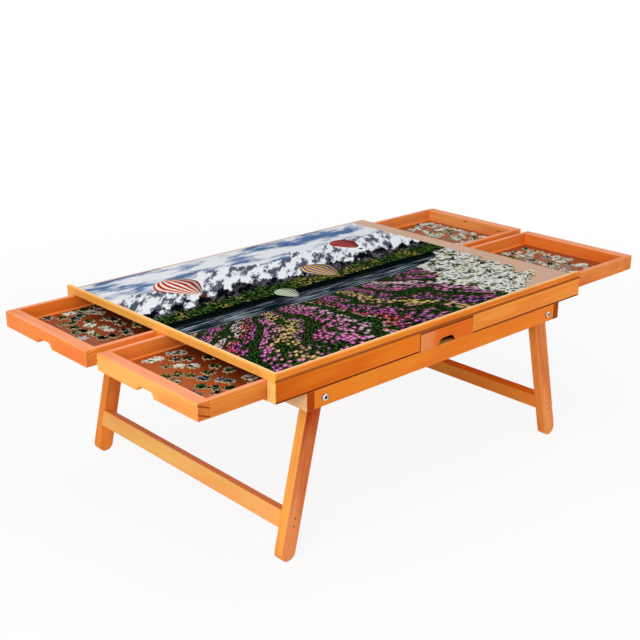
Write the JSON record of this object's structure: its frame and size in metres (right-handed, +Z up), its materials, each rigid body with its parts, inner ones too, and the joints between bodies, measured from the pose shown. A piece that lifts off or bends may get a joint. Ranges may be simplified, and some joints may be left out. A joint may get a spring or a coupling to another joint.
{
  "type": "jigsaw puzzle table",
  "caption": "Low wooden jigsaw table: rimmed work board over sliding drawers at the ends and sides, on two folding splayed leg frames",
  "frame": {"origin": "on the floor, under the middle of the table as it stands with its end drawers drawn out", "axes": "+Z up, +X along the table towards its rimless right end, -Y towards the rimmed front edge"},
  "size_m": [1.262, 0.676, 0.381],
  "materials": {
    "stained_pine": "satin orange stain",
    "bare_pine": "unstained",
    "work_board": "smooth hardboard",
    "drawer_panel": "smooth hardboard",
    "jigsaw_card": "printed card",
    "bolt_steel": "bright plated"
  },
  "bodies": {
    "table": {"assembled_jigsaw": "jigsaw_card", "back_apron": "stained_pine", "back_left_runner": "stained_pine", "back_left_wall": "stained_pine", "back_right_runner": "stained_pine", "back_right_wall": "stained_pine", "bay_stop_block": "stained_pine", "front_apron": "stained_pine", "front_left_runner": "stained_pine", "front_left_wall": "stained_pine", "front_right_runner": "stained_pine", "front_right_wall": "stained_pine", "front_rim": "stained_pine", "left_bay_runner": "stained_pine", "left_centre_rail": "stained_pine", "left_cross_board": "bare_pine", "left_divider": "stained_pine", "left_rim": "stained_pine", "pivot_bolts": "bolt_steel", "right_bay_runner": "stained_pine", "right_centre_rail": "stained_pine", "right_cross_board": "bare_pine", "right_divider": "stained_pine", "work_board": "work_board"},
    "front_left_drawer": {"front_left_drawer_back": "stained_pine", "front_left_drawer_bottom": "drawer_panel", "front_left_drawer_face": "stained_pine", "front_left_drawer_inner_side": "stained_pine", "front_left_drawer_outer_side": "stained_pine"},
    "back_left_drawer": {"back_left_drawer_back": "stained_pine", "back_left_drawer_bottom": "drawer_panel", "back_left_drawer_face": "stained_pine", "back_left_drawer_inner_side": "stained_pine", "back_left_drawer_outer_side": "stained_pine"},
    "front_right_drawer": {"front_right_drawer_back": "stained_pine", "front_right_drawer_bottom": "drawer_panel", "front_right_drawer_face": "stained_pine", "front_right_drawer_inner_side": "stained_pine", "front_right_drawer_outer_side": "stained_pine"},
    "back_right_drawer": {"back_right_drawer_back": "stained_pine", "back_right_drawer_bottom": "drawer_panel", "back_right_drawer_face": "stained_pine", "back_right_drawer_inner_side": "stained_pine", "back_right_drawer_outer_side": "stained_pine"},
    "front_small_drawer": {"front_small_drawer_back": "stained_pine", "front_small_drawer_bottom": "drawer_panel", "front_small_drawer_face": "stained_pine", "front_small_drawer_left_side": "stained_pine", "front_small_drawer_right_side": "stained_pine"},
    "back_small_drawer": {"back_small_drawer_back": "stained_pine", "back_small_drawer_bottom": "drawer_panel", "back_small_drawer_face": "stained_pine", "back_small_drawer_left_side": "stained_pine", "back_small_drawer_right_side": "stained_pine"},
    "left_legs": {"back_left_leg": "stained_pine", "front_left_leg": "stained_pine", "left_stretcher": "stained_pine"},
    "right_legs": {"back_right_leg": "stained_pine", "front_right_leg": "stained_pine", "right_stretcher": "stained_pine"}
  },
  "joints": [
    {"name": "front_left_drawer_slide", "type": "slide", "parent": "table", "child": "front_left_drawer", "axis": [-1, 0, 0], "range_m": [-0.143, 0.121]},
    {"name": "back_left_drawer_slide", "type": "slide", "parent": "table", "child": "back_left_drawer", "axis": [-1, 0, 0], "range_m": [-0.152, 0.112]},
    {"name": "front_right_drawer_slide", "type": "slide", "parent": "table", "child": "front_right_drawer", "axis": [1, 0, 0], "range_m": [-0.241, 0.023]},
    {"name": "back_right_drawer_slide", "type": "slide", "parent": "table", "child": "back_right_drawer", "axis": [1, 0, 0], "range_m": [-0.245, 0.019]},
    {"name": "front_small_drawer_slide", "type": "slide", "parent": "table", "child": "front_small_drawer", "axis": [0, -1, 0], "range_m": [0, 0.24]},
    {"name": "back_small_drawer_slide", "type": "slide", "parent": "table", "child": "back_small_drawer", "axis": [0, 1, 0], "range_m": [0, 0.24]},
    {"name": "left_legs_fold", "type": "hinge", "parent": "table", "child": "left_legs", "pos_m": [-0.36785, 0, 0.3094], "axis": [0, -1, 0], "range_deg": [0, 103.3]},
    {"name": "right_legs_fold", "type": "hinge", "parent": "table", "child": "right_legs", "pos_m": [0.27485, 0, 0.3094], "axis": [0, 1, 0], "range_deg": [0, 103.3]}
  ]
}
